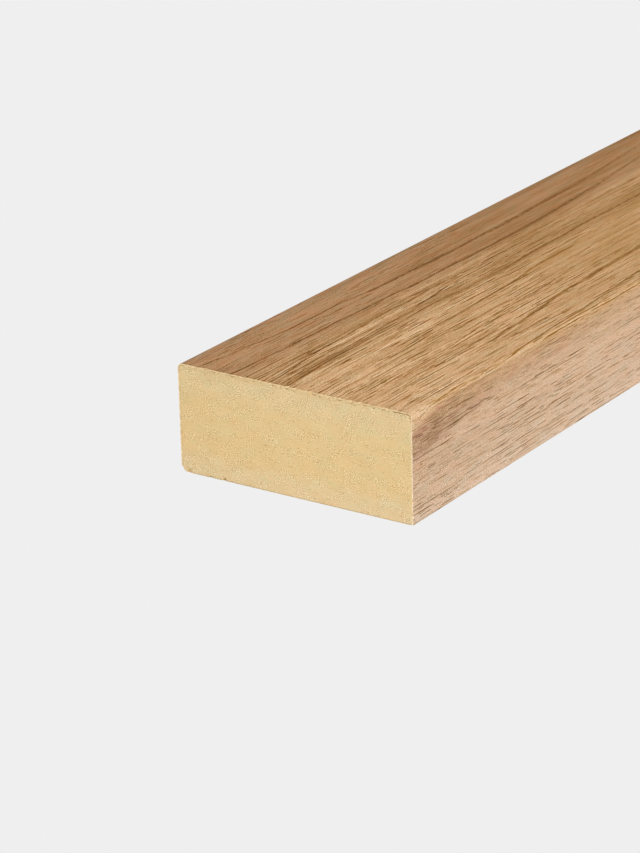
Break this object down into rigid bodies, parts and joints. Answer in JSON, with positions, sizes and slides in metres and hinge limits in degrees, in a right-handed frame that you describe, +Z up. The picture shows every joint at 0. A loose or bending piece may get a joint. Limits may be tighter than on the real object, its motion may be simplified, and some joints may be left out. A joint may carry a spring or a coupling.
{
  "type": "edge trim strip",
  "caption": "Straight rectangular edge trim strip of fibreboard, wrapped on its top and sides in wood-look decor foil, with square sawn ends and a bare flat back.",
  "frame": {"origin": "middle of the bare back face, halfway along the strip", "axes": "+X across the width, +Y along the length away from the sawn end that the picture shows, +Z up through the thickness, out of the wrapped face"},
  "size_m": [0.028, 2.4, 0.012],
  "materials": {
    "fibreboard": "raw sawn",
    "wood_decor": "satin"
  },
  "bodies": {
    "root": {"mdf_core": "fibreboard", "decor_foil": "wood_decor"}
  },
  "joints": []
}
